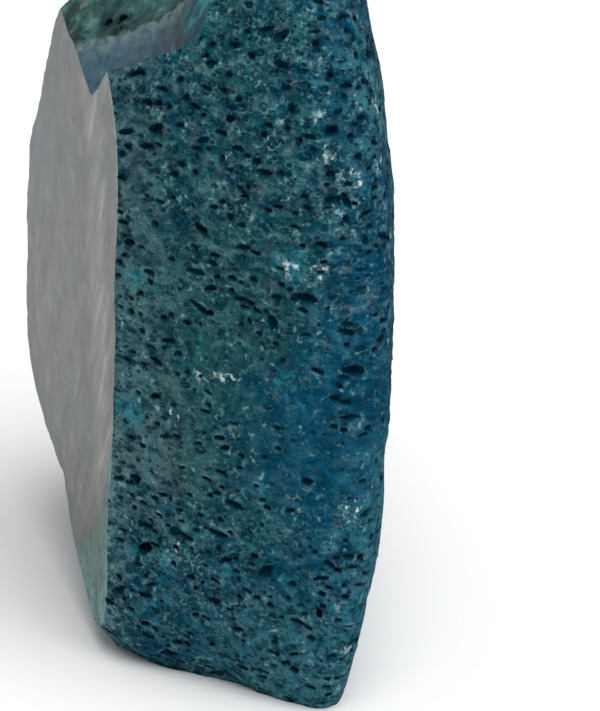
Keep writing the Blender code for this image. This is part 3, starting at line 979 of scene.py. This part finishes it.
def polished_finish():
    """Polished agate with growth bands that follow its sides, and a dull green strip at the near edge."""
    agate = Finish("polished_agate")
    from_heart = agate.place(HEART)
    bent = agate.stirred(agate.stirred(from_heart, 26, 3.2), 6, 0.35)
    age = growth(agate, bent)
    rim_age = growth(agate, agate.stirred(from_heart, 5, 0.45))
    sideways, upward = agate.axis(from_heart, "X"), agate.axis(from_heart, "Z")
    broad = agate.noise(from_heart, 30, 2)
    colour = agate.blend((age * 30 + 6 * broad).wave() * 0.5 + 0.5, AGATE_GREY, AGATE_MAUVE)
    colour = agate.blend((sideways + 16 * broad).ramp(-22, -34) * 0.8, colour, AGATE_GREEN)
    colour = agate.blend(agate.noise(from_heart, 14, 3).ramp(0.52, 0.66) * 0.7, colour, AGATE_BLUE)
    fine = ((age * 300).wave() * 0.5 + 0.5) * agate.noise(from_heart, 7, 3).ramp(0.4, 0.62)
    colour = agate.blend(fine * 0.38, colour, AGATE_DARK)
    across, along = sideways * 0.80 - upward * 0.60, sideways * 0.60 + upward * 0.80
    slanting = agate.node("ShaderNodeCombineXYZ", sockets={0: across, 1: along * 0.12})
    streak = agate.noise(slanting, 2.6, 4, 0.6)
    # A lighter streak band beside the near edge, which also stands in as a painted highlight.
    pale_band = (sideways + 8 * (broad - 0.5)).off(20).ramp(11, 2)  # beside the near edge
    colour = agate.blend(pale_band * 0.18, colour, AGATE_PALE)
    colour = agate.blend(streak.ramp(0.50, 0.72) * (0.12 + 0.7 * pale_band), colour, AGATE_PALE)
    colour = agate.blend(streak.ramp(0.46, 0.30) * 0.6, colour, AGATE_DARK)

    # Beyond the arc, and by the near edge, the saw cut was left unpolished.
    flat = agate.place(POLISH_MIDDLE, (1, 0, 1))
    off_arc = agate.vector("LENGTH", flat, output="Value") - POLISH_REACH
    off_arc = off_arc + 3 * (agate.noise(from_heart, 5, 4) - 0.5)
    softness = 0.4 + 2.4 * upward.ramp(-24, -42)
    strip = off_arc.ramp(-1 * softness, softness) * upward.ramp(-6, -11)
    unpolished = strip.at_least(rim_age.ramp(0.982, 0.996) * sideways.ramp(10, 24))
    streaked = agate.noise(agate.place(squeeze=(1, 1, 0.3)), 1.8, 4, 0.6)
    bluish = streaked * 0.4 + rim_age.ramp(0.92, 1.0)
    rough = agate.blend(bluish.ramp(0.4, 1.0), RIM_GREEN, RIM_TEAL)
    rough = agate.blend(streaked.ramp(0.52, 0.36) * 0.6, rough, RIM_DARK)
    rough = agate.blend(agate.noise(from_heart, 1.2, 3, 0.6).ramp(0.50, 0.36) * 0.6, rough, RIM_DARK)

    mottled = agate.noise(from_heart, 5, 4, 0.6)
    colour = agate.blend(mottled.ramp(0.50, 0.32) * 0.35, colour, AGATE_DARK)
    colour = agate.blend(mottled.ramp(0.52, 0.70) * 0.22, colour, AGATE_PALE)
    colour = agate.blend(upward.ramp(-4, 26) * sideways.ramp(16, -14) * 0.45, colour, AGATE_COOL)
    far_low = rim_age.ramp(0.86, 1.0) * sideways.ramp(6, -8) * upward.ramp(6, -18)
    colour = agate.blend(far_low * 0.65, colour, AGATE_GREEN)
    colour = agate.blend(unpolished, colour, rough)
    # A pale line along the near edge: partly the rind's own thin band, partly painted light where a small
    # bevel would catch it.
    near_edge = sideways.ramp(18, 28)
    edge = rim_age.ramp(0.985, 1.0) * agate.noise(from_heart, 1.0, 3).ramp(0.35, 0.6) * near_edge
    ragged = (rim_age + 0.05 * (agate.noise(from_heart, 2, 4) - 0.5)).ramp(0.985, 1.0)
    dyed_edge = ragged * upward.ramp(-10, -20) * sideways.ramp(18, 26)
    colour = agate.blend(dyed_edge * 0.8, colour, TEAL)
    colour = agate.blend(edge, colour, RIM_PALE)
    agate.set(Base_Color=colour, Roughness=0.35 + 0.45 * unpolished)
    agate.set(Specular_IOR_Level=0.12, IOR=1.54)
    agate.bump(streaked * unpolished + 0.2 * agate.noise(from_heart, 9, 2) + 0.1 * streak, 0.3)
    return agate.material


FRACTURE_BLUE = (0.050, 0.105, 0.145)
FRACTURE_MAUVE = (0.060, 0.086, 0.102)
FRACTURE_TEAL = (0.030, 0.130, 0.125)
FRACTURE_DARK = (0.020, 0.035, 0.048)
FRACTURE_PALE = (0.170, 0.235, 0.215)
OLD_GREEN = (0.028, 0.060, 0.052)
OLD_TEAL = (0.042, 0.130, 0.130)
OLD_DARK = (0.006, 0.022, 0.022)


def broken_finish():
    """Fresh fracture: dull blue-grey to mauve agate, with an older green surface beyond its ridge."""
    broken = Finish("broken_agate")
    at = broken.place()
    stirred = broken.stirred(at, 5, 1.5)
    sideways = broken.axis(at, "X") + 9 * (broken.noise(at, 8, 2) - 0.5)
    colour = broken.blend(sideways.ramp(13, 27), FRACTURE_BLUE, FRACTURE_MAUVE)
    colour = broken.blend(broken.noise(stirred, 6, 3).ramp(0.56, 0.68) * 0.6, colour, FRACTURE_TEAL)
    grain = broken.noise(stirred, 2.2, 4, 0.6)
    colour = broken.blend(grain.ramp(0.50, 0.32) * 0.6, colour, FRACTURE_DARK)
    colour = broken.blend(grain.ramp(0.56, 0.74) * 0.5, colour, FRACTURE_PALE)
    ridge = broken.vector("DOT_PRODUCT", broken.place(RIDGE_START), tuple(RIDGE_WAY), output="Value")
    ridge = ridge + 2.2 * (broken.noise(at, 3, 3) - 0.5)
    # A pale band along the ridge's crest, painted light.
    lit_crest = ridge.ramp(3.0, 0.4) * broken.noise(at, 2, 3).ramp(0.28, 0.62)
    colour = broken.blend(lit_crest * 0.65, colour, FRACTURE_PALE)
    old = broken.blend(broken.noise(at, 3.5, 3).ramp(0.35, 0.70), OLD_GREEN, OLD_TEAL)
    old = broken.blend(grain.ramp(0.54, 0.70) * 0.5, old, FRACTURE_PALE)
    # Darker round the older surface's pits.
    dark_rounds = [(place, OLD_PIT_DARKENING) for place, _ in OLD_SURFACE_PITS]
    near_old_pit = broken.within(at, dark_rounds) * (0.7 + grain.ramp(0.60, 0.40))
    old = broken.blend((grain.ramp(0.55, 0.36) * 0.7).at_least(near_old_pit * 0.9), old, OLD_DARK)
    colour = broken.blend(ridge.ramp(0.3, -0.3), colour, old)
    depth = broken.attribute("depth")
    on_riser = broken.axis(at, "Z").ramp(106, 109) * broken.axis(at, "X").ramp(22, 28)
    # Painted shade in the groove behind the near rim, where the rind stands proud of the break.
    undercut_shade = depth.ramp(1.8, 0.4) * sideways.ramp(14, 20) * broken.noise(at, 1.8, 2).ramp(0.36, 0.56)
    colour = broken.blend(undercut_shade * (0.8 - 0.6 * on_riser), colour, FRACTURE_DARK)
    dyed_edge = (depth + 4 * (broken.noise(at, 5, 2) - 0.5)).ramp(5, 3) * on_riser
    dye = broken.blend(broken.noise(at, 3, 2).ramp(0.40, 0.62), TEAL, CYAN)
    colour = broken.blend(dyed_edge * 0.85, colour, dye)
    broken.set(Base_Color=colour, Roughness=0.65 - 0.15 * grain, Specular_IOR_Level=0.15)
    broken.bump(grain + 0.2 * broken.noise(at, 0.5, 2), 0.5)
    return broken.material


def sawn_finish():
    """The foot: sawn and left dull, with the saw's fine parallel lines."""
    sawn = Finish("sawn_foot")
    at = sawn.place()
    lines = (sawn.axis(sawn.stirred(at, 20, 0.6), "Y") * 5).wave() * 0.5 + 0.5
    colour = sawn.blend(sawn.noise(at, 7, 4).ramp(0.35, 0.65), AGATE_DARK, AGATE_GREY)
    age = growth(sawn, sawn.place(HEART))
    colour = sawn.blend(age.ramp(0.90, 0.97), colour, TEAL)
    sawn.set(Base_Color=colour, Roughness=0.6 + 0.15 * lines)
    sawn.bump(lines * 0.5 + 0.5 * sawn.noise(at, 0.6, 3), 0.08)
    return sawn.material


# ---- the studio ----

CAMERA_AZIMUTH, CAMERA_ELEVATION = 73, 20  # degrees
CAMERA_DISTANCE = 500 * MM
CAMERA_AIM = Vector((8.25, 10.12, 48.31)) * MM
PICTURE_HEIGHT = 711  # pixels
PIXELS_PER_MM = 6.0  # at the aim
SENSOR = 36  # mm, along the picture's long side

ROOM_LIGHT = 0.36
SKY_LIGHT, SKY_SPREAD = 2.9, 50  # watts per square metre, and degrees
SKY_SIDE = Vector((0.50, 0.08, 0.85))
FLOOR_SHADE, FLOOR_REACH = 0.95, 12


def add_camera():
    azimuth, elevation = math.radians(CAMERA_AZIMUTH), math.radians(CAMERA_ELEVATION)
    level = math.cos(elevation)
    back = Vector((math.sin(azimuth) * level, -math.cos(azimuth) * level, math.sin(elevation)))
    data = bpy.data.cameras.new("camera")
    data.sensor_width = SENSOR
    data.lens = SENSOR * (CAMERA_DISTANCE / MM) * PIXELS_PER_MM / PICTURE_HEIGHT
    data.clip_start = 10 * MM
    camera = bpy.data.objects.new("camera", data)
    camera.location = CAMERA_AIM + back * CAMERA_DISTANCE
    camera.rotation_euler = (-back).to_track_quat("-Z", "Y").to_euler()
    bpy.context.scene.collection.objects.link(camera)
    bpy.context.scene.camera = camera


def add_studio():
    """A pale floor and room, lit softly from all round and a little more from above."""
    world = bpy.data.worlds.new("room")
    world.use_nodes = True
    background = world.node_tree.nodes["Background"].inputs
    background["Color"].default_value = (1, 1, 1, 1)
    background["Strength"].default_value = ROOM_LIGHT
    bpy.context.scene.world = world
    bpy.context.scene.view_settings.view_transform = "Standard"
    sky = bpy.data.lights.new("sky", "SUN")
    sky.energy, sky.angle = SKY_LIGHT, math.radians(SKY_SPREAD)
    light = bpy.data.objects.new("sky", sky)
    light.rotation_euler = SKY_SIDE.to_track_quat("Z", "Y").to_euler()
    bpy.context.scene.collection.objects.link(light)
    floor_finish = Finish("pale_floor")
    floor_finish.set(Base_Color=(FLOOR_SHADE, FLOOR_SHADE, FLOOR_SHADE, 1), Roughness=0.9)
    bm = bmesh.new()
    bmesh.ops.create_circle(bm, cap_ends=True, segments=96, radius=FLOOR_REACH)
    floor = plain_object("floor", bm, floor_finish.material)


finishes = (rind_finish(), polished_finish(), broken_finish(), sawn_finish())
stone = build_stone(finishes)
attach(stone, "root")
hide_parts("agate_geode")
add_studio()
add_camera()
